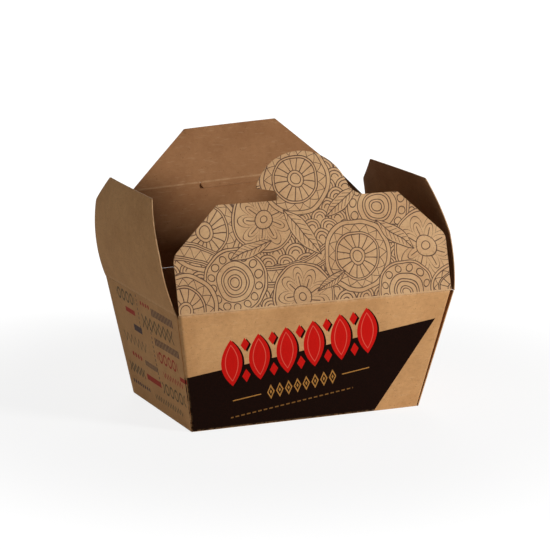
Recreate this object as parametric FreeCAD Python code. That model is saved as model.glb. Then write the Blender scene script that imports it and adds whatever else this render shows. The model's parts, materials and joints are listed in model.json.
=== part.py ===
import FreeCAD, Part
import math
import os

from FreeCAD import Vector

# Takeout carton: one sheet of kraft board folded into a tapered tray with web corners, and
# four lid flaps that turn on the creases at the rim. Millimetres, Z up. X runs along the
# front wall, Y from front to back, and the origin is the middle of the base, on the table.

# Tray
carton_height = 64.0        # table to the front and back rim creases
base_width = 128.0
base_depth = 82.0
rim_width = 152.0
rim_depth = 106.0
board = 0.45                # thickness of the sheet
corner_fold_radius = 1.6    # outside of the folds where front and back walls turn into the webs
base_fold_radius = 0.75     # outside of the folds round the base
side_panel_base_inset = 0.3     # from the corner to the side panel's edge, at the base
side_panel_rim_inset = 2.7      # the same at the rim, which opens the V-shaped gap
web_rim_width = 40.0        # how far a folded web reaches along the side panel at the rim
web_base_inset = 2.5        # from the corner to the web's edge, at the base
web_rim_drop = 1.0          # from the side panel's top edge down to the webs' top edge
side_crease_drop = 0.9      # the side creases lie this much lower, so those flaps tuck under
right_panel_slack = 0.15    # the right panel isn't pressed flat on its webs
right_panel_spread = 2.8    # and its front top corner stands this much further off

# Rim creases
crease_gap = 0.25           # between a flap's rounded root and the wall it turns on
lid_edge_inset = 0.5        # front and back flaps stop short of the side creases

# Front and back flaps, measured up the flap from its crease
front_shoulder_length = 29.0    # crease to the shoulder where the slanted edge starts
back_shoulder_length = 31.0
slant_angle = 46.9          # slanted edge, from the flap's centre line
shoulder_radius = 7.0
lid_corner_radius = 1.2
front_edge_length = 52.8    # crease to the front flap's top edge
front_lean = 15.0           # leans in over the tray
back_length = 77.0          # crease to the back flap's top edge, over both its panels
back_lean = 6.0
back_fold_length = 47.2     # crease to the back flap's second fold
back_fold_angle = 29.0      # its end panel is turned back by this much
back_fold_skew = 3.0        # that fold and the top edge climb to the right, out of true

# Lock: the front flap's tab and hook, and the slit in the back flap's second fold
tab_offset = -3.0           # the round tab's centre, from the flap's centre line
tab_radius = 27.0
tab_centre_length = 50.0    # crease to the tab's centre
tab_blend_radius = 10.0     # from the tab back into the top edge
hook_slot_end = -17.4       # where the slot under the hook stops
hook_slot_height = 4.8
hook_slot_rise = 1.2        # the hook's underside climbs towards its tip
hook_tip_radius = 1.4
slit_half_width = 22.6
slit_depth = 3.4            # the lip reaches this far past the fold
slit_gap = 0.3
lip_corner_radius = 2.0

# Side flaps
side_length = 57.5
side_front_shoulder_length = 30.0
side_back_shoulder_length = 43.0
side_front_taper = 11.5     # the front edge runs in by this much, clear of the leaning front flap
side_back_taper = 4.5
side_front_top_width = 30.5     # from the flap's middle to its front top corner
side_back_top_width = 31.5
side_shoulder_radius = 4.0
side_corner_radius = 2.0
# Each side flap leans out at its crease and curls in towards its top edge, both in degrees
left_front_lean_angle = 21.5
left_front_curl_angle = 31.0
left_back_lean_angle = 23.0
left_back_curl_angle = 40.0
right_front_lean_angle = 8.3
right_front_curl_angle = 33.0
right_back_lean_angle = 7.0
right_back_curl_angle = 27.0

# Worked out from the sizes above
flare_x = math.atan2((rim_width - base_width) / 2, carton_height)
flare_y = math.atan2((rim_depth - base_depth) / 2, carton_height)
board_x = board / math.cos(flare_x)
board_y = board / math.cos(flare_y)
half_board = board / 2
wall_top = carton_height - half_board - crease_gap
side_wall_top = wall_top - side_crease_drop
hinge_x = rim_width / 2 - board_x / 2
hinge_y = rim_depth / 2 - board_y / 2
side_hinge_z = carton_height - side_crease_drop
lid_half_width = rim_width / 2 - lid_edge_inset
side_fold_radius = 0.95 * board     # outside of the folds from the base into the side panels
overrun = 5.0               # how far a cutting solid passes the faces it cuts
tolerance = 1e-4            # for picking edges by their place


def half_width(z):
    return base_width / 2 + z * math.tan(flare_x)


def half_depth(z):
    return base_depth / 2 + z * math.tan(flare_y)


def outline_wire(corners):
    """Closed outline in the XZ plane from (x, z, corner radius)."""
    count = len(corners)
    starts, ends, arcs = [], [], []
    for i, (x, z, radius) in enumerate(corners):
        here = Vector(x, 0, z)
        before = Vector(corners[i - 1][0], 0, corners[i - 1][1]) - here
        after = Vector(corners[(i + 1) % count][0], 0, corners[(i + 1) % count][1]) - here
        before.normalize()
        after.normalize()
        if radius == 0:
            starts.append(here)
            ends.append(here)
            arcs.append(None)
            continue
        half_turn = before.getAngle(after) / 2
        reach = radius / math.tan(half_turn)
        start = here + before * reach
        end = here + after * reach
        inward = before + after
        inward.normalize()
        middle = here + inward * (radius / math.sin(half_turn) - radius)
        starts.append(start)
        ends.append(end)
        arcs.append(Part.Arc(start, middle, end).toShape())
    edges = []
    for i in range(count):
        if arcs[i]:
            edges.append(arcs[i])
        following = (i + 1) % count
        if (starts[following] - ends[i]).Length > tolerance:
            edges.append(Part.LineSegment(ends[i], starts[following]).toShape())
    return Part.Wire(edges)


def sheet_of(face):
    """The sheet over a face in the XZ plane, centred on that plane."""
    face.translate(Vector(0, -half_board, 0))
    return face.extrude(Vector(0, board, 0))


def plate(corners):
    return sheet_of(Part.Face(outline_wire(corners)))


def fold_rod(x_low, x_high, z):
    """The round of a fold or of a flap's root, along X."""
    return Part.makeCylinder(half_board, x_high - x_low, Vector(x_low, 0, z), Vector(1, 0, 0))


def frustum(low, high):
    """Flat-sided solid between two level rectangles, each (x_low, x_high, y_half, z)."""
    x_low, x_high, y_half, z_low = low
    x2_low, x2_high, y2_half, z_high = high
    solid = Part.makeWedge(x_low, z_low, -y_half, -y2_half, x2_low,
                           x_high, z_high, y_half, y2_half, x2_high)
    # The wedge is made along Y and stood up
    solid.rotate(Vector(0, 0, 0), Vector(1, 0, 0), 90)
    return solid


def tapered_block(inset_x, inset_y, radius, z_low, z_high):
    """The tray's form, brought in by an inset on its side walls and on its front and back."""
    rings = []
    for z in (z_low, z_high):
        x = half_width(z) - inset_x
        rings.append((-x, x, half_depth(z) - inset_y, z))
    block = frustum(*rings)
    folds = [edge for edge in block.Edges if edge.BoundBox.ZLength > tolerance]
    return block.makeFillet(radius, folds)


def round_lowest_edges(solid, radius):
    """Round the edges that lie level with the solid's lowest face."""
    low = min(vertex.Z for vertex in solid.Vertexes)
    edges = []
    for edge in solid.Edges:
        if max(vertex.Z for vertex in edge.Vertexes) < low + tolerance:
            edges.append(edge)
    return solid.makeFillet(radius, edges)


def side_panel(side, slack, spread):
    """One side wall: a single sheet that lies outside its two webs."""
    wires = []
    for z, inset, opening in ((0, side_panel_base_inset, 0),
                              (side_wall_top, side_panel_rim_inset, spread)):
        outer = half_width(z) + slack
        inner = outer - board_x
        edge = half_depth(z) - inset
        corners = [(inner + opening, -edge), (outer + opening, -edge), (outer, edge), (inner, edge)]
        corners.append(corners[0])
        wires.append(Part.makePolygon([Vector(side * x, y, z) for x, y in corners]))
    return Part.makeLoft(wires, True, True)


def side_panels_and_base():
    """The two side panels and the base between them, which is one sheet with them."""
    x_half = (base_width - board_x) / 2
    y_half = base_depth / 2 - base_fold_radius
    base = Part.makeBox(2 * x_half + right_panel_slack, 2 * y_half, board,
                        Vector(-x_half, -y_half, 0))
    panels = [side_panel(-1, 0, 0), side_panel(1, right_panel_slack, right_panel_spread)]
    sheet = base.fuse(panels).removeSplitter()
    # The folds from the base into the panels are its lowest and outermost edges
    fold_places = (-base_width / 2, base_width / 2 + right_panel_slack)
    folds = []
    for edge in sheet.Edges:
        for place in fold_places:
            ends = [vertex.Point for vertex in edge.Vertexes]
            if all(p.z < tolerance and abs(p.x - place) < tolerance for p in ends):
                folds.append(edge)
    return sheet.makeFillet(side_fold_radius, folds)


def make_tray():
    walls = tapered_block(board_x, 0, corner_fold_radius, 0, wall_top)
    walls = round_lowest_edges(walls, base_fold_radius)
    inside = tapered_block(3 * board_x, board_y, corner_fold_radius - board,
                           board, carton_height + overrun)
    inside = round_lowest_edges(inside, base_fold_radius - board)
    tray = walls.cut(inside)
    # Between the webs a side wall is the panel alone
    low_half = base_depth / 2 - web_base_inset
    high_half = rim_depth / 2 - web_rim_width
    window = Part.makePolygon([Vector(0, -low_half, board), Vector(0, low_half, board),
                               Vector(0, high_half, carton_height),
                               Vector(0, -high_half, carton_height),
                               Vector(0, -low_half, board)])
    window = Part.Face(window)
    window.translate(Vector(-rim_width, 0, 0))
    tray = tray.cut(window.extrude(Vector(2 * rim_width, 0, 0)))
    # The webs end a little below the side creases
    web_reach = rim_depth / 2 - corner_fold_radius - board
    above_webs = Part.makeBox(2 * rim_width, 2 * web_reach, overrun + web_rim_drop,
                              Vector(-rim_width, -web_reach, side_wall_top - web_rim_drop))
    tray = tray.cut(above_webs)
    return tray.fuse(side_panels_and_base()).removeSplitter()


def lid_outline(shoulder_length, top_length, skew):
    """Outline of a front or back flap: upright edges, then slanted ones up to the top edge."""
    slant = math.tan(math.radians(slant_angle))
    climb = math.tan(math.radians(skew))
    left, right = [], []
    for side, corners in ((-1, left), (1, right)):
        # Where the slanted edge meets a top edge that climbs to the right
        reach = lid_half_width - slant * (top_length - shoulder_length)
        reach = reach / (1 + side * slant * climb)
        corners.append((side * lid_half_width, 0, 0))
        corners.append((side * lid_half_width, shoulder_length, shoulder_radius))
        corners.append((side * reach, top_length + side * reach * climb, lid_corner_radius))
    return left + right[::-1]


def arc_about(centre, radius, from_angle, to_angle):
    points = []
    for angle in (from_angle, (from_angle + to_angle) / 2, to_angle):
        points.append(centre + Vector(math.cos(angle), 0, math.sin(angle)) * radius)
    return Part.Arc(*points).toShape()


def tab_plate():
    """The round tab with its hook on one side and its blend into the top edge on the other."""
    centre = Vector(tab_offset, 0, tab_centre_length)
    disc = Part.Face(Part.Wire([Part.Circle(centre, Vector(0, -1, 0), tab_radius).toShape()]))
    # The part of the disc below the top edge is the flap's own
    blend_height = front_edge_length + tab_blend_radius - tab_centre_length
    blend_reach = tab_radius + tab_blend_radius
    blend_angle = math.asin(blend_height / blend_reach)
    blend_centre = centre + Vector(math.cos(blend_angle), 0, math.sin(blend_angle)) * blend_reach
    touch = centre + Vector(math.cos(blend_angle), 0, math.sin(blend_angle)) * tab_radius
    foot = Vector(blend_centre.x, 0, front_edge_length)
    sunk = Vector(tab_offset, 0, front_edge_length)
    blend = Part.Face(Part.Wire([
        arc_about(blend_centre, tab_blend_radius, math.pi + blend_angle, 1.5 * math.pi),
        Part.LineSegment(foot, sunk).toShape(),
        Part.LineSegment(sunk, touch).toShape()]))
    return sheet_of(disc.fuse(blend))


def make_front_flap():
    flap = plate(lid_outline(front_shoulder_length, front_edge_length, 0))
    flap = flap.fuse(tab_plate())
    # The slot under the hook, open at its outer end
    slot_mouth = tab_offset - tab_radius - overrun
    run = hook_slot_end - slot_mouth
    rise = hook_slot_rise / (tab_radius + tab_offset + hook_slot_end) * run
    slot = plate([(hook_slot_end, front_edge_length, 0),
                  (hook_slot_end, front_edge_length + hook_slot_height, hook_tip_radius),
                  (slot_mouth, front_edge_length + hook_slot_height + rise, 0),
                  (slot_mouth, front_edge_length, 0)])
    flap = flap.cut(slot)
    flap = round_hook_tip(flap)
    flap = flap.fuse(fold_rod(-lid_half_width, lid_half_width, 0)).removeSplitter()
    flap.rotate(Vector(0, 0, 0), Vector(1, 0, 0), -front_lean)
    flap.translate(Vector(0, -hinge_y, carton_height))
    return flap


def round_hook_tip(flap):
    tips = []
    for edge in flap.Edges:
        box = edge.BoundBox
        across = box.YLength > board - tolerance and box.XLength < tolerance
        above = box.ZMin > front_edge_length + hook_slot_height
        if across and above and box.XMax < hook_slot_end - hook_tip_radius:
            tips.append(edge)
    return flap.makeFillet(hook_tip_radius, tips)


def make_back_flap():
    sheet = plate(lid_outline(back_shoulder_length, back_length, back_fold_skew))
    fold_centre = Vector(0, 0, back_fold_length)
    fold_line = Vector(1, 0, math.tan(math.radians(back_fold_skew)))
    wide = 2 * rim_width
    corner = Vector(-wide / 2, -overrun, back_fold_length - wide)
    below_fold = Part.makeBox(wide, 2 * overrun, wide, corner)
    lip_low = back_fold_length - slit_depth
    lip = plate([(-slit_half_width, lip_low, lip_corner_radius),
                 (slit_half_width, lip_low, lip_corner_radius),
                 (slit_half_width, back_fold_length, 0),
                 (-slit_half_width, back_fold_length, 0)])
    cut_half = slit_half_width + slit_gap
    cut_radius = lip_corner_radius + slit_gap
    cut_low = lip_low - slit_gap
    cut_high = back_fold_length + overrun
    slit = plate([(-cut_half, cut_low, cut_radius), (cut_half, cut_low, cut_radius),
                  (cut_half, cut_high, 0), (-cut_half, cut_high, 0)])
    fold_round = fold_rod(-rim_width / 2, rim_width / 2, back_fold_length)
    for piece in (below_fold, lip, slit, fold_round):
        piece.rotate(fold_centre, Vector(0, 1, 0), -back_fold_skew)
    strip = sheet.common(below_fold).cut(slit)
    end_panel = sheet.cut(below_fold).fuse(lip)
    end_panel.rotate(fold_centre, fold_line, -back_fold_angle)
    fold_round = fold_round.common(sheet).cut(slit)
    flap = strip.fuse([end_panel, fold_round])
    flap = flap.fuse(fold_rod(-lid_half_width, lid_half_width, 0)).removeSplitter()
    flap.rotate(Vector(0, 0, 0), Vector(1, 0, 0), back_lean)
    flap.translate(Vector(0, hinge_y, carton_height))
    return flap


def curled_section(lean, curl, y):
    """Outline across a curled side flap, leaning outwards, with its root rounded on the crease."""
    sweep = math.radians(curl)
    radius = side_length / sweep
    centre = Vector(-radius, 0, 0)
    edges = [arc_about(centre, radius - half_board, 0, sweep),
             arc_about(centre, radius + half_board, 0, sweep)]
    edges.append(Part.LineSegment(edges[0].Vertexes[1].Point,
                                  edges[1].Vertexes[1].Point).toShape())
    edges.append(Part.Arc(Vector(-half_board, 0, 0), Vector(0, 0, -half_board),
                          Vector(half_board, 0, 0)).toShape())
    wire = Part.Wire(Part.__sortEdges__(edges))
    wire.rotate(Vector(0, 0, 0), Vector(0, 1, 0), lean)
    wire.translate(Vector(0, y, 0))
    return wire


def make_side_flap(side, slack, spread, front_lean_curl, back_lean_curl):
    """A side flap, from its outward lean and its curl at its front and at its back edge."""
    root_half = rim_depth / 2 - side_panel_rim_inset
    sections = [curled_section(*front_lean_curl, -root_half),
                curled_section(*back_lean_curl, root_half)]
    sheet = Part.makeLoft(sections, True, True)
    # The outline is cut square to the middle of the curled sheet
    mean_lean = (front_lean_curl[0] + back_lean_curl[0]) / 2
    mean_curl = (front_lean_curl[1] + back_lean_curl[1]) / 2
    half_curl = math.radians(mean_curl / 2)
    shrink = math.sin(half_curl) / half_curl
    top = side_length * shrink - board
    outline = []
    for edge_side, shoulder_length, taper, top_width in (
            (-1, side_front_shoulder_length, side_front_taper, side_front_top_width),
            (1, side_back_shoulder_length, side_back_taper, side_back_top_width)):
        shoulder_width = root_half - math.tan(math.radians(taper)) * shoulder_length
        edge = [(edge_side * root_half, -overrun, 0),
                (edge_side * root_half, 0, 0),
                (edge_side * shoulder_width, shoulder_length * shrink, side_shoulder_radius),
                (edge_side * top_width, top, side_corner_radius)]
        outline += edge[::-edge_side]
    stamp = Part.Face(outline_wire(outline))
    stamp.rotate(Vector(0, 0, 0), Vector(0, 0, 1), 90)
    stamp.translate(Vector(-rim_depth / 2, 0, 0))
    stamp = stamp.extrude(Vector(rim_depth, 0, 0))
    stamp.rotate(Vector(0, 0, 0), Vector(0, 1, 0), mean_lean - mean_curl / 2)
    flap = sheet.common(stamp).removeSplitter()
    # Its crease follows the top of the side panel
    turn = math.degrees(math.asin(spread / (2 * root_half)))
    flap.rotate(Vector(0, 0, 0), Vector(0, 0, 1), turn)
    flap.translate(Vector(hinge_x + slack + spread / 2, 0, side_hinge_z))
    if side < 0:
        flap = flap.mirror(Vector(0, 0, 0), Vector(1, 0, 0))
    return flap


left_front_bend = (left_front_lean_angle, left_front_curl_angle)
left_back_bend = (left_back_lean_angle, left_back_curl_angle)
right_front_bend = (right_front_lean_angle, right_front_curl_angle)
right_back_bend = (right_back_lean_angle, right_back_curl_angle)
parts = {
    "carton_body": make_tray(),
    "front_flap": make_front_flap(),
    "back_flap": make_back_flap(),
    "left_flap": make_side_flap(-1, 0, 0, left_front_bend, left_back_bend),
    "right_flap": make_side_flap(1, right_panel_slack, right_panel_spread,
                                 right_front_bend, right_back_bend),
}
os.makedirs("parts", exist_ok=True)
for name, shape in parts.items():
    shape.exportStep(f"parts/{name}.step")
    print(name, "solids", len(shape.Solids), "valid", shape.isValid(),
          "volume", round(shape.Volume, 1))
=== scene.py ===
import json
import math

import bmesh
import bpy
from mathutils import Matrix, Vector


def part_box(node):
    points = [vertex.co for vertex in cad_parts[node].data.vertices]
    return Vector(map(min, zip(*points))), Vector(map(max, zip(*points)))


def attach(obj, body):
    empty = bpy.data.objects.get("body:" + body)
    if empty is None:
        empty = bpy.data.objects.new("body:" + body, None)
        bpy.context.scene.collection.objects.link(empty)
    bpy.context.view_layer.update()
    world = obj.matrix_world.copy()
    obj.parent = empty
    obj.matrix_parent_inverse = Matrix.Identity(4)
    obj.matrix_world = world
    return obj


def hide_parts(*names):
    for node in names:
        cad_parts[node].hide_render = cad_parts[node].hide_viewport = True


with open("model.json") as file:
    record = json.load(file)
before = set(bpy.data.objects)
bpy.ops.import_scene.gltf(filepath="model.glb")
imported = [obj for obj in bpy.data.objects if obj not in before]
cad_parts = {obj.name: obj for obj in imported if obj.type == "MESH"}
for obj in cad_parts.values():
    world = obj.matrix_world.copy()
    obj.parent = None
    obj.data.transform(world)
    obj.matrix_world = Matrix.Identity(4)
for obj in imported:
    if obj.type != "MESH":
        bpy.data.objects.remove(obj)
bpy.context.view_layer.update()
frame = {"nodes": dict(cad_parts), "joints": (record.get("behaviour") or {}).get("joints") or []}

millimetre = 0.001
wallFlare = 0.1875  # how far each wall leans out for each millimetre of height
print("frame loaded:", sorted(frame["nodes"]))


def jointOf(body):
    return next(joint for joint in frame["joints"] if joint["child"] == body)


def creaseOf(body):
    return Vector(jointOf(body)["pos_m"])


# Camera: the view that the sizes were read from, with the frame 550 pixels wide

photoView = {
    "location": (-0.51436, -1.14291, 0.34835),
    "forward": (0.4002, 0.8899, -0.2189),
    "up": (0.0828, 0.2028, 0.9757),
    "focalPixels": 2461,
    "framePixels": 550,
    "sensorWidth": 36,
}


def makeCamera(view):
    data = bpy.data.cameras.new("photoCamera")
    data.sensor_width = view["sensorWidth"]
    data.lens = view["focalPixels"] / view["framePixels"] * view["sensorWidth"]
    camera = bpy.data.objects.new("photoCamera", data)
    bpy.context.scene.collection.objects.link(camera)
    back = -Vector(view["forward"]).normalized()
    right = Vector(view["up"]).cross(back).normalized()
    up = back.cross(right)
    turn = Matrix((right, up, back)).transposed().to_4x4()
    camera.matrix_world = Matrix.Translation(view["location"]) @ turn
    bpy.context.scene.camera = camera


makeCamera(photoView)
print("camera set")


# Shader maths: a Wire is one output of a node, and sums of wires add Math nodes

class Wire:
    def __init__(self, recipe, socket):
        self.recipe = recipe
        self.socket = socket

    def __add__(self, other):
        return self.recipe.math("ADD", self, other)

    def __radd__(self, other):
        return self.recipe.math("ADD", other, self)

    def __sub__(self, other):
        return self.recipe.math("SUBTRACT", self, other)

    def __rsub__(self, other):
        return self.recipe.math("SUBTRACT", other, self)

    def __mul__(self, other):
        return self.recipe.math("MULTIPLY", self, other)

    def __rmul__(self, other):
        return self.recipe.math("MULTIPLY", other, self)

    def __truediv__(self, other):
        return self.recipe.math("DIVIDE", self, other)

    def __abs__(self):
        return self.recipe.math("ABSOLUTE", self)


def linear(red, green, blue):
    # a colour as a picture editor gives it, from 0 to 255
    channels = []
    for value in (red, green, blue):
        share = value / 255
        channels.append(share / 12.92 if share <= 0.04045 else ((share + 0.055) / 1.055) ** 2.4)
    return (*channels, 1)


class Recipe:
    edgeBlur = 0.12  # millimetres over which a printed edge fades
    bumpStrength = 0.6

    def __init__(self, name, world=None):
        # the nodes of a new material, or of a world, which has no place on an object
        self.owner = world or bpy.data.materials.new(name)
        self.owner.use_nodes = True
        self.tree = self.owner.node_tree
        self.tree.nodes.clear()
        if world is None:
            values = {0: self.node("TexCoord", output="Object"), "Scale": 1 / millimetre}
            self.place = self.node("VectorMath", {"operation": "SCALE"}, values)
            self.x, self.y, self.z = [
                self.node("SeparateXYZ", values={0: self.place}, output=axis)
                for axis in range(3)]

    def node(self, kind, settings=None, values=None, output=0):
        made = self.tree.nodes.new("ShaderNode" + kind)
        for name, value in (settings or {}).items():
            setattr(made, name, value)
        for slot, value in (values or {}).items():
            if isinstance(value, Wire):
                self.tree.links.new(value.socket, made.inputs[slot])
            else:
                made.inputs[slot].default_value = value
        return Wire(self, made.outputs[output]) if len(made.outputs) else None

    def math(self, operation, *values, clamp=False):
        settings = {"operation": operation, "use_clamp": clamp}
        return self.node("Math", settings, dict(enumerate(values)))

    def inside(self, distance):
        # 1 where a distance is below zero
        return self.math("MULTIPLY_ADD", distance, -1 / self.edgeBlur, 0.5, clamp=True)

    def line(self, distance, halfWidth):
        offset = halfWidth / self.edgeBlur + 0.5
        return self.math("MULTIPLY_ADD", abs(distance), -1 / self.edgeBlur, offset, clamp=True)

    def fraction(self, value):
        return self.math("FRACT", value)

    def length(self, across, up):
        return self.math("SQRT", across * across + up * up)

    def most(self, *masks):
        result = masks[0]
        for mask in masks[1:]:
            result = self.math("MAXIMUM", result, mask)
        return result

    def fade(self, value, low, high):
        return self.node("MapRange", {"interpolation_type": "SMOOTHSTEP"},
                         {0: value, 1: low, 2: high, 3: 0, 4: 1})

    def over(self, mask, under, top):
        # a value laid over another where the mask is 1
        return self.node("Mix", {"data_type": "FLOAT"}, {0: mask, 2: under, 3: top}, output=0)

    def paint(self, mask, under, top, blend="MIX"):
        settings = {"data_type": "RGBA", "blend_type": blend}
        return self.node("Mix", settings, {0: mask, 6: under, 7: top}, output=2)

    def noise(self, scale, detail=3, roughness=0.55, stretch=None, turn=0):
        # scale is in features per millimetre, and stretch lengthens them along x, y or z
        place = self.place
        if turn or stretch:
            factors = tuple(1 / value for value in (stretch or (1, 1, 1)))
            place = self.node("Mapping", {"vector_type": "POINT"},
                              {0: place, "Rotation": (turn, turn, turn), "Scale": factors})
        values = {"Vector": place, "Scale": scale, "Detail": detail, "Roughness": roughness}
        return self.node("TexNoise", values=values, output=0)

    def finish(self, colour, roughness, height, relief, gloss=0.12):
        values = {"Strength": self.bumpStrength, "Distance": relief * millimetre, "Height": height}
        bump = self.node("Bump", values=values)
        values = {"Base Color": colour, "Roughness": roughness, "Normal": bump,
                  "Specular IOR Level": gloss}
        shader = self.node("BsdfPrincipled", values=values)
        self.node("OutputMaterial", values={"Surface": shader})
        return self.owner


# Kraft board: warm brown pulp with long fibres, pale flecks and dark specks

boardLook = {
    "outside": {"light": linear(211, 161, 109), "dark": linear(196, 147, 97)},
    "flap": {"light": linear(213, 173, 128), "dark": linear(200, 158, 114)},
    "inside": {"light": linear(174, 125, 84), "dark": linear(158, 110, 72)},
    "edge": {"light": linear(220, 178, 132), "dark": linear(190, 146, 102)},
    "fibre": linear(232, 196, 152),
    "shade": linear(120, 78, 46),
    "speck": linear(84, 52, 30),
    # pale board: whitened folds, and painted highlights along the rim creases and the back flap's
    # fold
    "worn": linear(226, 184, 138),
    "wornShare": 0.5,
    "patchSize": 0.035,  # features per millimetre, as the next ones are
    "fibreSize": 0.9,
    "speckSize": 1.1,
    "grainSize": 3.2,
    "clumpSize": 0.42,
    "patchFade": (0.34, 0.66),  # the noise levels between which a mask rises from 0 to 1
    "clumpFade": (0.38, 0.66),
    "lyingFade": (0.58, 0.72),
    "slantedFade": (0.6, 0.74),
    "threadFade": (0.6, 0.7),
    "speckFade": (0.7, 0.76),
    "grainShade": 0.35,
    "grainLevel": 0.06,
    "clumpShare": 0.13,
    "fibreShare": 0.13,
    "threadShare": 0.17,
    "speckShare": 0.45,
    "relief": 0.05,
    "roughness": 0.78,
}


foldLook = {
    "rimHeight": 63.6,
    "rimFade": (0.3, 1.5),  # millimetres from the fold over which its whitening and painted highlight fade
    "baseFade": (0.4, 1.5),
    "cornerXFade": (62.4, 63.7),  # from the middle of the base to near its corners
    "cornerYFade": (39.4, 40.7),
    "rimShare": 0.7,
    "baseShare": 0.55,
    "cornerShare": 0.8,
    "blotchSize": 0.5,
    "blotchFade": (0.35, 0.62),
}


def foldWearAndHighlight(recipe):
    # lighter, rubbed and whitened board along the rim creases, the base folds and the four corner
    # folds, in blotches; along the rim creases it also holds a painted highlight where the fold
    # catches light
    look = foldLook
    rim = 1 - recipe.fade(abs(recipe.z - look["rimHeight"]), *look["rimFade"])
    base = 1 - recipe.fade(recipe.z, *look["baseFade"])
    cornerX = recipe.fade(abs(recipe.x) - recipe.z * wallFlare, *look["cornerXFade"])
    cornerY = recipe.fade(abs(recipe.y) - recipe.z * wallFlare, *look["cornerYFade"])
    blotches = recipe.fade(recipe.noise(look["blotchSize"], detail=4), *look["blotchFade"])
    corner = cornerX * cornerY * look["cornerShare"]
    return recipe.most(rim * look["rimShare"], base * look["baseShare"], corner) * blotches


def kraft(recipe, side):
    look = boardLook
    patches = recipe.noise(look["patchSize"], detail=5, roughness=0.6)
    patches = recipe.fade(patches, *look["patchFade"])
    colour = recipe.paint(patches, look[side]["dark"], look[side]["light"])
    clumps = recipe.noise(look["clumpSize"], detail=5, roughness=0.7)
    clumps = recipe.fade(clumps, *look["clumpFade"])
    colour = recipe.paint(clumps * look["clumpShare"], colour, look["shade"])
    lying = recipe.noise(look["fibreSize"], stretch=(6, 1, 1), turn=0.25)
    slanted = recipe.noise(look["fibreSize"] * 1.3, stretch=(7, 5, 1), turn=0.6)
    fibres = recipe.most(recipe.fade(lying, *look["lyingFade"]),
                         recipe.fade(slanted, *look["slantedFade"]))
    threads = recipe.noise(look["fibreSize"] * 1.7, stretch=(6, 6, 1), turn=-0.4)
    threads = recipe.fade(threads, *look["threadFade"])
    colour = recipe.paint(fibres * look["fibreShare"], colour, look["fibre"])
    colour = recipe.paint(threads * look["threadShare"], colour, look["shade"])
    specks = recipe.fade(recipe.noise(look["speckSize"], detail=1), *look["speckFade"])
    colour = recipe.paint(specks * look["speckShare"], colour, look["speck"])
    grain = recipe.noise(look["grainSize"], detail=2)
    grainMask = (grain - 0.5) * look["grainShade"] + look["grainLevel"]
    colour = recipe.paint(grainMask, colour, look["shade"])
    # lighter folds: whitened board, and a painted highlight along the rim creases
    colour = recipe.paint(foldWearAndHighlight(recipe) * look["wornShare"], colour, look["worn"])
    height = fibres * 0.5 + grain * 0.5 - threads * 0.25
    return colour, height


backFold = {
    "lean": math.radians(6),
    "length": 47.2,
    "climb": math.tan(math.radians(3)),
    "slitDepth": 3.7,
    "slitHalfWidth": 22.9,
    "slitClose": 0.8,  # the strip's edges round the slit are drawn in by this much
    # a pale line along the fold, a painted highlight where the bent board catches light
    "foldFade": (0.1, 0.7),
    "blotchSize": 0.3,
    "blotchFade": (0.3, 0.7),
    "blotchShare": 0.3,
    "blotchLeast": 0.1,
}


def plainBoard(name, side, foldHeight=None):
    # foldHeight is where a panel's own fold crosses x = 0; it climbs to the right
    recipe = Recipe(name)
    colour, height = kraft(recipe, side)
    if foldHeight:
        # a painted highlight along the back flap's fold, in blotches
        look = backFold
        fold = recipe.z - recipe.x * look["climb"] - foldHeight
        blotches = recipe.fade(recipe.noise(look["blotchSize"], detail=4), *look["blotchFade"])
        blotches = blotches * look["blotchShare"] + look["blotchLeast"]
        onFold = 1 - recipe.fade(abs(fold), *look["foldFade"])
        colour = recipe.paint(onFold * blotches, colour, boardLook["worn"])
    return recipe.finish(colour, boardLook["roughness"], height, boardLook["relief"])


# Print on the front wall: a dark slanted field, a rising row of red leaves, ochre trim

frontPrint = {
    "darkInk": linear(16, 5, 2),
    "thinInk": linear(40, 17, 9),
    "fieldStart": (-70.6, 29.9),  # the field's upper edge, in x and z
    "fieldEnd": (68.0, 49.0),
    "fieldFoot": (38.2, 0.4),
    "rise": math.radians(7.9),  # the rows climb to the right
    "rowStart": (-43.5, 23.1),
    "red": linear(200, 24, 18),
    "redLine": linear(224, 96, 78),
    "leafPitch": 15.0,
    "leafCount": 6,
    "leafHeight": 25.5,
    "leafWidth": 11.4,
    "gemHeight": 7.4,
    "gemWidth": 4.6,
    "shadowShift": (1.1, -0.7),
    "gemOffset": 8.6,  # from the row's middle up and down to the lozenges
    "lineInset": 0.2,  # of a leaf's width
    "halfLine": 0.24,
    "lineShare": 0.75,
    "foldWearAndHighlightShare": 0.6,
    "unevenShare": 0.35,
    "inkRoughness": 0.62,
    "gloss": 0.03,
    "ochre": linear(176, 124, 62),
    "dimOchre": linear(128, 88, 44),
    "chainMiddle": (37.5, -8.2),  # along and up from the row's start
    "chainPitch": 4.9,
    "chainHalf": 4,  # lozenges on each side of the middle
    "lozengeSize": (3.8, 7.6),
    "lozengeLine": (0.2, 0.36),
    "lozengeHeart": 1.3,
    "ruleReach": (22.5, 38),
    "ruleHalf": 0.28,
    "dashRow": (32, -17.4),
    "dashPitch": 3.1,
    "dashHalf": (1.0, 0.36),
    "dashReach": 34,
}


def leafDistance(across, up, width, height):
    # below zero inside a pointed leaf centred on the origin
    share = up * (2 / height)
    return abs(across) - (1 - share * share) * (width / 2)


def gemDistance(across, up, width, height):
    # below zero inside an upright lozenge centred on the origin
    return abs(across) - (width / 2 - abs(up) * (width / height))


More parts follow.
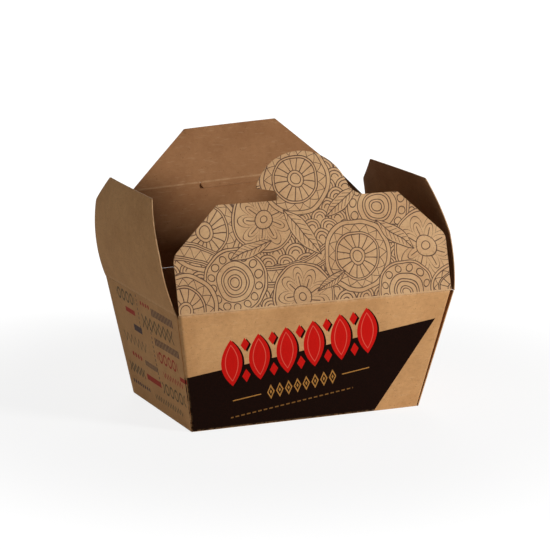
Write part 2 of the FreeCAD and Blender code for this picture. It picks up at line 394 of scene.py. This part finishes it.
def rowOfRed(recipe, across, up, look):
    # masks of the leaves and lozenges, and of the light line inside each leaf
    half = look["leafHeight"] / 2
    shapes, lines = [], []
    last = look["leafCount"] - 1
    for i in range(look["leafCount"]):
        place = across - i * look["leafPitch"]
        distance = leafDistance(place, up - half, look["leafWidth"], look["leafHeight"])
        shapes.append(recipe.inside(distance))
        inset = look["leafWidth"] * look["lineInset"]
        lines.append(recipe.line(distance + inset, look["halfLine"]))
        if i < last:
            place = across - (i + 0.5) * look["leafPitch"]
            offset = abs(up - half) - look["gemOffset"]
            distance = gemDistance(place, offset, look["gemWidth"], look["gemHeight"])
            shapes.append(recipe.inside(distance))
    return recipe.most(*shapes), recipe.most(*lines)


def frontWallPrint():
    look = frontPrint
    recipe = Recipe("frontWallPrint")
    colour, height = kraft(recipe, "outside")
    startX, startZ = look["fieldStart"]
    endX, endZ = look["fieldEnd"]
    footX, footZ = look["fieldFoot"]
    slope = (endZ - startZ) / (endX - startX)
    below = recipe.z - (recipe.x * slope + (startZ - startX * slope))
    steep = (endX - footX) / (endZ - footZ)
    leftOf = recipe.x - (recipe.z * steep + (footX - footZ * steep))
    field = recipe.inside(below) * recipe.inside(leftOf)
    uneven = recipe.fade(recipe.noise(1.4, detail=2), 0.25, 0.8)
    ink = recipe.paint(uneven * look["unevenShare"], look["darkInk"], look["thinInk"])
    # the dark field is paler along the folds: whitened board, and a painted highlight on the rim
    # crease
    colour = recipe.paint(field * (1 - foldWearAndHighlight(recipe) * look["foldWearAndHighlightShare"]), colour, ink)

    # along and up the rising rows, from the row's start
    cosine, sine = math.cos(look["rise"]), math.sin(look["rise"])
    dx = recipe.x - look["rowStart"][0]
    dz = recipe.z - look["rowStart"][1]
    along = dx * cosine + dz * sine
    up = dz * cosine - dx * sine
    shiftX, shiftUp = look["shadowShift"]
    shadow = rowOfRed(recipe, along - shiftX, up - shiftUp, look)[0]
    shapes, lines = rowOfRed(recipe, along, up, look)
    colour = recipe.paint(shadow, colour, look["darkInk"])
    colour = recipe.paint(shapes, colour, look["red"])
    colour = recipe.paint(lines * look["lineShare"], colour, look["redLine"])

    # ochre: a chain of lozenges with a thin line at either end, and a row of dashes
    chainAlong = along - look["chainMiddle"][0]
    chainUp = up - look["chainMiddle"][1]
    pitch = look["chainPitch"]
    reach = abs(chainAlong)
    cell = (recipe.fraction(chainAlong / pitch) - 0.5) * pitch
    lozenge = gemDistance(cell, chainUp, *look["lozengeSize"])
    inset, half = look["lozengeLine"]
    outline = recipe.line(lozenge + inset, half)
    heart = recipe.inside(lozenge + look["lozengeHeart"])
    chain = recipe.most(outline, heart) * recipe.inside(reach - look["chainHalf"] * pitch)
    near, far = look["ruleReach"]
    rules = recipe.line(chainUp, look["ruleHalf"]) * recipe.inside(reach - far)
    rules = rules * recipe.inside(near - reach)
    colour = recipe.paint(recipe.most(chain, rules), colour, look["ochre"])
    middle, level = look["dashRow"]
    pitch = look["dashPitch"]
    halfLength, halfHeight = look["dashHalf"]
    dash = recipe.inside(abs((recipe.fraction(along / pitch) - 0.5) * pitch) - halfLength)
    dashes = dash * recipe.line(up - level, halfHeight)
    dashes = dashes * recipe.inside(abs(along - middle) - look["dashReach"])
    colour = recipe.paint(dashes, colour, look["dimOchre"])
    roughness = recipe.over(field, boardLook["roughness"], look["inkRoughness"])
    return recipe.finish(colour, roughness, height, boardLook["relief"], gloss=look["gloss"])


# Print on the left wall: rows of bars, slats, zigzags, dots, rings and lozenges

leftPrint = {
    "red": linear(158, 46, 34),
    "dark": linear(40, 28, 34),
    "olive": linear(84, 70, 44),
    "rows": (
        # kind, colour, middle across the wall, height of the row's middle, width, row height
        ("rings", "olive", 24, 57.5, 26, 6.6),
        ("bar", "red", 20, 50.2, 14, 2.6),
        ("dots", "red", -4, 58.6, 13, 2.8),
        ("slats", "dark", -27, 56.8, 30, 4.2),
        ("lozenges", "olive", -18, 49.0, 42, 7.4),
        ("bar", "dark", 12, 42.2, 12, 3.4),
        ("zigzag", "olive", 20, 33.5, 34, 6.2),
        ("slats", "dark", -27, 41.0, 32, 4.0),
        ("rings", "red", -24, 33.2, 26, 6.4),
        ("bar", "red", -42, 27.6, 8, 2.4),
        ("dots", "red", 22, 25.2, 18, 3.2),
        ("slats", "dark", 1, 24.6, 18, 3.0),
        ("zigzag", "red", -28, 24.2, 26, 3.6),
        ("lozenges", "olive", 26, 16.6, 22, 5.4),
        ("bar", "red", 2, 16.6, 20, 3.2),
        ("rings", "olive", -25, 16.0, 30, 6.8),
        ("dots", "dark", 24, 8.6, 24, 2.6),
        ("zigzag", "olive", -14, 7.6, 38, 3.6),
    ),
    # each kind's pitch as a share of its row's height
    "pitches": {"dots": 1.25, "rings": 0.9, "lozenges": 0.8, "slats": 0.5, "zigzag": 0.9},
    "halfLine": 0.6,
    "zigzagHalf": 0.62,
    # dashed upright lines: middle, height of the middle, half length
    "separators": ((7.5, 53, 12), (-7.5, 33, 16)),
    "dashPitch": 2.4,
    "dashHalf": (0.7, 0.4),
    "wornFade": (0.2, 0.5),
    "wornShare": 0.2,
    "inkLeast": 0.76,
}


def rowMark(recipe, kind, across, up, height):
    if kind == "bar":
        return None
    half = leftPrint["halfLine"]
    pitch = leftPrint["pitches"][kind] * height
    cell = (recipe.fraction(across / pitch) - 0.5) * pitch
    if kind == "dots":
        return recipe.inside(recipe.length(cell, up) - height * 0.42)
    if kind == "rings":
        return recipe.line(recipe.length(cell * 1.3, up) - height * 0.4, half)
    if kind == "lozenges":
        return recipe.line(gemDistance(cell, up, pitch * 0.8, height * 0.95), half)
    if kind == "slats":
        return recipe.inside(abs(cell) - pitch * 0.3)
    wave = (abs(cell) * 2 - pitch / 2) * (height * 0.8 / pitch)
    return recipe.line(up - wave, leftPrint["zigzagHalf"])


def leftWallPrint():
    look = leftPrint
    recipe = Recipe("leftWallPrint")
    colour, height = kraft(recipe, "outside")
    masks = {}
    for kind, ink, middle, level, width, rowHeight in look["rows"]:
        across = recipe.y - middle
        up = recipe.z - level
        mask = recipe.inside(abs(across) - width / 2) * recipe.inside(abs(up) - rowHeight / 2)
        mark = rowMark(recipe, kind, across, up, rowHeight)
        if mark is not None:
            mask = mask * mark
        masks.setdefault(ink, []).append(mask)
    pitch = look["dashPitch"]
    halfLength, halfWidth = look["dashHalf"]
    for middle, level, half in look["separators"]:
        dash = recipe.inside(abs(recipe.fraction(recipe.z / pitch) - 0.5) * pitch - halfLength)
        mask = dash * recipe.line(recipe.y - middle, halfWidth)
        masks["dark"].append(mask * recipe.inside(abs(recipe.z - level) - half))
    worn = recipe.fade(recipe.noise(0.9, detail=3), *look["wornFade"])
    worn = worn * look["wornShare"] + look["inkLeast"]
    for ink, shapes in masks.items():
        colour = recipe.paint(recipe.most(*shapes) * worn, colour, look[ink])
    return recipe.finish(colour, boardLook["roughness"], height, boardLook["relief"])


# Line work on the front flap: wheels, flowers, ripples, leaves and a wave in thin brown lines

flapPrint = {
    "ink": linear(68, 44, 42),
    "halfLine": 0.25,
    "wobble": 4.4,  # how strongly noise shifts the lines, in millimetres, as if drawn by hand
    "wobbleSize": 0.06,
    "scale": 5.2,  # radius of the small scales behind everything
    "scaleArcs": (0.97, 0.68, 0.36),
    "foot": 0.5,  # millimetres above the crease where the drawing starts
    "wornFade": (0.25, 0.5),
    "wornShare": 0.2,
    "inkLeast": 0.74,
    "motifs": (
        # middle across and up the flap, then radius and count of a wheel, flower or ripple,
        # length and turn of a leaf, or height and wave of a band
        ("wheel", -58, 40, 20, 18),
        ("flower", -26, 44, 17, 9),
        ("ripple", 38, 46, 18, 14),
        ("wheel", -6, 63, 19, 16),
        ("band", 6, 24, 9, 0.055),
        ("flower", 64, 24, 19, 8),
        ("ripple", -44, 14, 17, 14),
        ("wheel", 24, 22, 19, 16),
        ("leaf", -6, 36, 30, 2.2),
        ("leaf", 18, 50, 24, 0.7),
        ("flower", -8, 4, 17, 9),
        ("wheel", -72, 2, 18, 16),
        ("leaf", -34, 29, 24, 0.35),
        ("ripple", 50, 2, 16, 12),
        ("leaf", 46, 31, 26, 2.5),
        ("leaf", 8, 10, 18, 0.5),
        ("wheel", 77, 1, 13, 12),
    ),
}


def polar(recipe, across, up, count):
    # distance from the middle, and how far round its cell a point is, from -0.5 to 0.5
    radius = recipe.length(across, up)
    angle = recipe.math("ARCTAN2", up, across)
    cell = recipe.fraction(angle * (count / (2 * math.pi))) - 0.5
    return radius, cell


def wheelLines(recipe, across, up, size, count, half):
    radius, cell = polar(recipe, across, up, count)
    spoke = recipe.line(cell * radius * (2 * math.pi / count), half)
    spokes = spoke * recipe.inside(radius - size * 0.6) * recipe.inside(size * 0.24 - radius)
    zigzag = recipe.line(radius - (abs(cell) * (size * 0.36) + size * 0.68), half)
    rings = [recipe.line(radius - size * share, half) for share in (0.15, 0.24, 0.6, 0.66, 0.88)]
    return radius - size, recipe.most(spokes, zigzag, *rings)


def flowerLines(recipe, across, up, size, count, half):
    radius, cell = polar(recipe, across, up, count)
    petal = (1 - abs(cell) * abs(cell) * 4) * (size * 0.34) + size * 0.5
    inner = (1 - abs(cell) * abs(cell) * 7) * (size * 0.24) + size * 0.42
    rings = [recipe.line(radius - size * share, half) for share in (0.12, 0.3, 0.93)]
    veins = recipe.line(cell * radius * (2 * math.pi / count), half)
    veins = veins * recipe.inside(radius - size * 0.56) * recipe.inside(size * 0.3 - radius)
    outer = recipe.line(radius - petal, half)
    return radius - size, recipe.most(outer, recipe.line(radius - inner, half), veins, *rings)


def rippleLines(recipe, across, up, size, count, half):
    radius, cell = polar(recipe, across, up, count)
    bead = recipe.length(cell * radius * (2 * math.pi / count), radius - size * 0.76)
    beads = recipe.line(bead - size * 0.11, half)
    rings = [recipe.line(radius - size * share, half)
             for share in (0.14, 0.22, 0.36, 0.44, 0.6, 0.92)]
    return radius - size, recipe.most(beads, *rings)


def leafLines(recipe, across, up, size, turn, half):
    along = across * math.cos(turn) + up * math.sin(turn)
    aside = up * math.cos(turn) - across * math.sin(turn)
    edge = leafDistance(aside, along, size * 0.3, size)
    pitch = size * 0.11
    rib = recipe.line(aside, half)
    slanted = along + abs(aside) * 1.3
    veins = recipe.line((recipe.fraction(slanted / pitch) - 0.5) * pitch, half)
    veins = veins * recipe.inside(edge + size * 0.03)
    return edge, recipe.most(rib, veins)


def bandLines(recipe, across, up, size, bend, half):
    # a wave from side to side, with a zigzag between its inner lines
    wave = recipe.math("SINE", across * bend) * size
    aside = up - wave
    cell = abs(recipe.fraction(across / 5.6) - 0.5)
    zigzag = recipe.line(aside - (cell * 9.2 - 2.3), half) * recipe.inside(abs(aside) - 2.4)
    rails = [recipe.line(abs(aside) - reach, half) for reach in (2.6, 3.7)]
    return abs(aside) - 4.8, recipe.most(zigzag, *rails)


motifLines = {"wheel": wheelLines, "flower": flowerLines, "ripple": rippleLines,
              "leaf": leafLines, "band": bandLines}


def flapCoordinates(recipe, body, wallDirection):
    # across and up the flap from its crease, in millimetres
    crease = creaseOf(body) / millimetre
    across = recipe.x - crease.x
    up = (recipe.y - crease.y) * wallDirection.y + (recipe.z - crease.z) * wallDirection.z
    return across, up


def frontFlapPrint(upTheFlap):
    look = flapPrint
    half = look["halfLine"]
    recipe = Recipe("frontFlapPrint")
    colour, height = kraft(recipe, "flap")
    across, up = flapCoordinates(recipe, "front_flap", upTheFlap)
    wander = [recipe.noise(look["wobbleSize"], detail=1, turn=turn) - 0.5 for turn in (0, 1.3)]
    bentAcross = across + wander[0] * look["wobble"]
    bentUp = up + wander[1] * look["wobble"]

    # rows of small scales, each row shifted by half a scale
    scale = look["scale"]
    row = bentUp / scale
    rowShift = recipe.math("FLOORED_MODULO", recipe.math("FLOOR", row), 2) * scale
    cellAcross = (recipe.fraction((bentAcross + rowShift) / (2 * scale)) - 0.5) * (2 * scale)
    cellUp = recipe.fraction(row) * scale
    reach = recipe.length(cellAcross, cellUp)
    ink = recipe.most(*[recipe.line(reach - scale * share, half) for share in look["scaleArcs"]])

    for kind, middleAcross, middleUp, size, detail in look["motifs"]:
        here = bentAcross - middleAcross
        above = bentUp - middleUp
        edge, lines = motifLines[kind](recipe, here, above, size, detail, half)
        lines = recipe.most(lines, recipe.line(edge, half))
        ink = recipe.over(recipe.inside(edge - half), ink, lines)
    ink = ink * recipe.inside(look["foot"] - up)
    worn = recipe.fade(recipe.noise(1.3, detail=2), *look["wornFade"])
    worn = worn * look["wornShare"] + look["inkLeast"]
    colour = recipe.paint(ink * worn, colour, look["ink"])
    return recipe.finish(colour, boardLook["roughness"], height, boardLook["relief"])


print("materials: kraft board and print")
outsideBoard = plainBoard("outsideBoard", "outside")
insideBoard = plainBoard("insideBoard", "inside")
cutEdge = plainBoard("cutEdge", "edge")


# Board pieces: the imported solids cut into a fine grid, bowed a little as card is

sheetLook = {
    "gridStep": 4.0,  # millimetres between the cuts
    "mergeDistance": 2e-6,
    "sharpAngle": 32,
    "flapHalf": 78,  # half the width over which the front and back flaps bow
}


def cutMesh(mesh, place, direction):
    everything = mesh.verts[:] + mesh.edges[:] + mesh.faces[:]
    bmesh.ops.bisect_plane(mesh, geom=everything, dist=1e-7, plane_co=place, plane_no=direction)


def boardPiece(nodeName, pieceName, chooseSide, materials, bend, extraCuts=()):
    look = sheetLook
    mesh = bmesh.new()
    mesh.from_mesh(frame["nodes"][nodeName].data)
    bmesh.ops.remove_doubles(mesh, verts=mesh.verts, dist=look["mergeDistance"])
    low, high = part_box(nodeName)
    step = look["gridStep"] * millimetre
    for axis in range(3):
        direction = Vector((0, 0, 0))
        direction[axis] = 1
        count = int((high[axis] - low[axis]) / step)
        for i in range(1, count + 1):
            place = Vector(low) + direction * ((i - 0.5) * step)
            cutMesh(mesh, place, direction)
    for place, direction in extraCuts:
        cutMesh(mesh, place, direction)
    mesh.normal_update()
    for face in mesh.faces:
        face.material_index = chooseSide(face.normal, face.calc_center_median() / millimetre)
        face.smooth = True
    for vert in mesh.verts:
        vert.co += bend(vert.co / millimetre) * millimetre
    data = bpy.data.meshes.new(pieceName)
    mesh.to_mesh(data)
    mesh.free()
    for material in materials:
        data.materials.append(material)
    data.set_sharp_from_angle(angle=math.radians(look["sharpAngle"]))
    piece = bpy.data.objects.new(pieceName, data)
    bpy.context.scene.collection.objects.link(piece)
    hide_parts(nodeName)
    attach(piece, nodeName)
    return piece


def bump01(value, low, high):
    # rises from 0 at either end to 1 in the middle
    share = min(1, max(0, (value - low) / (high - low)))
    return math.sin(math.pi * share) ** 2


def ramp01(value, low, high):
    share = min(1, max(0, (value - low) / (high - low)))
    return share * share * (3 - 2 * share)


# Front flap

frontShape = {
    "bow": 0.8,
    "bowTop": 60,
    "curl": 0.45,  # the corners beside the tab, outwards
    "curlAcross": (58, 76),
    "curlUp": (6, 26),
    "tip": 0.4,
    "tipUp": (52, 78),
}
frontCrease = creaseOf("front_flap") / millimetre
backCrease = creaseOf("back_flap") / millimetre
frontBox = [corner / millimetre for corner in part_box("front_flap")]
leanTop = frontBox[1].z - frontCrease.z
leanReach = frontBox[1].y - frontCrease.y
upFront = Vector((0, leanReach, leanTop)).normalized()
outFront = Vector((0, -upFront.z, upFront.y))


def frontFlapSide(normal, middle):
    facing = normal.dot(outFront)
    return 0 if facing > 0.6 else 1 if facing < -0.6 else 2


def frontFlapBend(place):
    look, half = frontShape, sheetLook["flapHalf"]
    up = (place - frontCrease).dot(upFront)
    curl = ramp01(abs(place.x), *look["curlAcross"]) * ramp01(up, *look["curlUp"])
    bow = bump01(up, 0, look["bowTop"]) * bump01(place.x, -half, half) * look["bow"]
    tip = ramp01(up, *look["tipUp"]) * look["tip"]
    return outFront * (bow - curl * look["curl"] - tip)


boardPiece("front_flap", "front_flap_board", frontFlapSide,
           [frontFlapPrint(upFront), insideBoard, cutEdge], frontFlapBend)
print("front flap made")


# Back flap

backShape = {
    "bow": 0.9,
    "bowTop": 48,
    "tip": 0.8,
    "tipUp": (52, 78),
    "tipAcross": (4, 40),
    "slitSlack": 0.24,  # half the board's thickness, and a little more
}


def backFlapSide(normal, middle):
    # its inner face looks forwards and its outer face backwards
    return 0 if normal.y > 0.45 else 1 if normal.y < -0.45 else 2


def closeSlit(place):
    # the strip has no points but the slit's own edge between the slit's foot and the fold
    look = backFold
    up = (place.z - backCrease.z) * math.cos(look["lean"])
    up -= (place.y - backCrease.y) * math.sin(look["lean"])
    inFront = (place.z - backCrease.z) * math.sin(look["lean"])
    inFront += (place.y - backCrease.y) * math.cos(look["lean"])
    above = up - place.x * look["climb"] - (look["length"] - look["slitDepth"])
    inSlit = -0.1 < above < look["slitDepth"] - 0.6 and abs(place.x) < look["slitHalfWidth"] + 0.2
    if not inSlit or abs(inFront) > backShape["slitSlack"]:
        return Vector((0, 0, 0))
    aside = abs(place.x) > look["slitHalfWidth"] - 2.4
    lift = ramp01(look["slitDepth"] - above, 0.6, 2.4)
    return Vector((-math.copysign(look["slitClose"], place.x) if aside else 0, 0,
                   look["slitClose"] * lift))


def backFlapBend(place):
    look, half = backShape, sheetLook["flapHalf"]
    up = place.z - backCrease.z
    bow = bump01(up, 0, look["bowTop"]) * bump01(place.x, -half, half) * look["bow"]
    tip = ramp01(up, *look["tipUp"]) * ramp01(abs(place.x), *look["tipAcross"]) * look["tip"]
    return Vector((0, bow - tip, 0)) + closeSlit(place)


foldHeight = backCrease.z + backFold["length"] * math.cos(backFold["lean"])
foldedBoard = [plainBoard("backFlap" + name, side, foldHeight)
               for name, side in (("Outside", "outside"), ("Inside", "inside"))]
boardPiece("back_flap", "back_flap_board", backFlapSide, [*foldedBoard, cutEdge], backFlapBend)
print("back flap made")


# Side flaps

sideShape = {
    "bow": 0.5,
    "bowUp": (4, 40),
    "wave": 0.05,  # radians for each millimetre along the crease
    "phases": {"left_flap": 0.6, "right_flap": 2.2},
}


def sideFlapSide(side):
    def choose(normal, middle):
        facing = normal.x * side
        return 0 if facing > 0.5 else 1 if facing < -0.5 else 2
    return choose


def sideFlapBend(side, name):
    look = sideShape
    crease = creaseOf(name) / millimetre

    def bend(place):
        wave = math.sin(place.y * look["wave"] + look["phases"][name])
        ripple = wave * ramp01(place.z - crease.z, *look["bowUp"]) * look["bow"]
        return Vector((side * ripple, 0, 0))
    return bend


for side, name in ((-1, "left_flap"), (1, "right_flap")):
    boardPiece(name, name + "_board", sideFlapSide(side), [outsideBoard, insideBoard, cutEdge],
               sideFlapBend(side, name))
print("side flaps made")


# Tray

trayShape = {
    "baseHalf": (64, 41),
    "sideTopDrop": 0.475,  # from the side creases down to the top of the side panels
    "topSlack": 0.02,
    "ridge": 0.19,  # a line along the front and back walls' top edges is raised by this much
    "shoulder": 0.06,  # and the rest of every wall's top edge by this much
    "onLine": 5e-6,
    "bow": 0.7,
    "bowUp": (1, 63),
    "cornerWidth": 2,  # of the front and back walls' ends, which don't bow
    "wallDepth": 1.0,  # what lies this near the outside is a front or back wall
    "panelDepth": 0.7,  # and this near, a side panel
    "panelHalf": 34,
}
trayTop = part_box("carton_body")[1].z / millimetre
sideTop = creaseOf("left_flap").z / millimetre - trayShape["sideTopDrop"]


def traySide(normal, middle):
    # 0 plain outside, 1 inside, 2 cut edge, 3 front print, 4 left print
    if middle.z > sideTop - 0.05 and normal.z > 0.9:
        return 2
    if normal.z < -0.9:
        return 0
    outward = normal.x * middle.x > 0 if abs(normal.x) > abs(normal.y) else normal.y * middle.y > 0
    if outward and normal.z < 0.05:
        if normal.y < -0.8 and middle.y < -40:
            return 3
        if normal.x < -0.8 and middle.x < -60:
            return 4
        if abs(normal.x) > 0.5 and abs(normal.y) > 0.2 and middle.y < 0:
            return 3
        return 0
    return 1


creaseCuts = []
for body in ("front_flap", "back_flap", "left_flap", "right_flap"):
    level = Vector(jointOf(body)["axis"]).cross(Vector((0, 0, 1))).normalized()
    creaseCuts.append((creaseOf(body), level))


def trayBend(place):
    look = trayShape
    shift = Vector((0, 0, 0))
    # raised top edges narrow the crease gaps, most where a crease's plane cuts the edge;
    # the side creases' planes pass just outside the side panels, so those get no ridge
    onPanelTop = abs(place.x) > 70 and abs(place.z - sideTop) < look["topSlack"]
    if place.z > trayTop - look["topSlack"] or onPanelTop:
        offLine = min(abs((place * millimetre - crease).dot(level))
                      for crease, level in creaseCuts)
        shift.z = look["ridge" if offLine < look["onLine"] else "shoulder"]
    halfWidth, halfDepth = [half + wallFlare * place.z for half in look["baseHalf"]]
    rise = bump01(place.z, *look["bowUp"]) * look["bow"]
    reach = halfWidth - look["cornerWidth"]
    side = look["panelHalf"]
    if halfDepth - abs(place.y) < look["wallDepth"] and abs(place.x) < reach:
        shift.y = math.copysign(bump01(place.x, -reach, reach) * rise, place.y)
    elif halfWidth - abs(place.x) < look["panelDepth"] and abs(place.y) < side:
        shift.x = math.copysign(bump01(place.y, -side, side) * rise, place.x)
    return shift


boardPiece("carton_body", "carton_body_board", traySide,
           [outsideBoard, insideBoard, cutEdge, frontWallPrint(), leftWallPrint()], trayBend,
           creaseCuts)
print("tray made")


# Floor, light and background

studioLook = {
    "floorRadius": 2.5,
    "floorColour": (0.86, 0.86, 0.86, 1),
    "shadowRadius": 0.36,  # metres from the carton within which the floor shows its shadow
    "shadowCore": 0.35,  # share of that radius inside which the shadow shows in full
    "whiteNear": 0.75,  # share of plain white in the floor near the carton
    "floorWhite": 1.12,
    "worldStrength": 0.06,
    "keyPlace": (0.72, -0.95, 0.37),
    "keySize": 0.3,
    "keyPower": 11.6,
    "fillPlace": (-1.3, -0.55, 0.3),
    "fillSize": 0.7,
    "fillPower": 2.6,
    "backPlace": (0.5, 1.3, 0.5),
    "backSize": 0.9,
    "backPower": 7,
    "target": (0, 0, 0.06),
}


def makeLight(name):
    place = studioLook[name + "Place"]
    data = bpy.data.lights.new(name, "AREA")
    data.shape = "DISK"
    data.size = studioLook[name + "Size"]
    data.energy = studioLook[name + "Power"]
    light = bpy.data.objects.new(name, data)
    bpy.context.scene.collection.objects.link(light)
    back = Vector(place) - Vector(studioLook["target"])
    turn = back.to_track_quat("Z", "Y").to_matrix().to_4x4()
    light.matrix_world = Matrix.Translation(place) @ turn


def seenDirectly(recipe):
    # 1 for what the camera sees, also in a gloss or through glass
    rays = ("Is Camera Ray", "Is Glossy Ray", "Is Transmission Ray")
    return recipe.most(*[recipe.node("LightPath", output=ray) for ray in rays])


def makeFloor():
    mesh = bmesh.new()
    bmesh.ops.create_circle(mesh, cap_ends=True, segments=96, radius=studioLook["floorRadius"])
    data = bpy.data.meshes.new("floor")
    mesh.to_mesh(data)
    mesh.free()
    floor = bpy.data.objects.new("floor", data)
    bpy.context.scene.collection.objects.link(floor)
    recipe = Recipe("floorPaper")
    away = recipe.length(recipe.x, recipe.y) * millimetre
    radius, near = studioLook["shadowRadius"], studioLook["whiteNear"]
    plain = recipe.fade(away, radius * studioLook["shadowCore"], radius)
    share = seenDirectly(recipe) * (plain * (1 - near) + near)
    paper = recipe.node("BsdfDiffuse", values={"Color": studioLook["floorColour"]})
    values = {"Color": (1, 1, 1, 1), "Strength": studioLook["floorWhite"]}
    white = recipe.node("Emission", values=values)
    mixed = recipe.node("MixShader", values={0: share, 1: paper, 2: white})
    recipe.node("OutputMaterial", values={"Surface": mixed})
    data.materials.append(recipe.owner)


def makeWorld():
    world = bpy.data.worlds.new("studio")
    bpy.context.scene.world = world
    recipe = Recipe("studio", world)
    soft, white = [
        recipe.node("Background", values={"Color": (1, 1, 1, 1), "Strength": strength})
        for strength in (studioLook["worldStrength"], 1)]
    mixed = recipe.node("MixShader", values={0: seenDirectly(recipe), 1: soft, 2: white})
    recipe.node("OutputWorld", values={"Surface": mixed})


makeFloor()
makeWorld()
for name in ("key", "fill", "back"):
    makeLight(name)
bpy.context.scene.view_settings.view_transform = "Standard"
print("floor, light and background made")
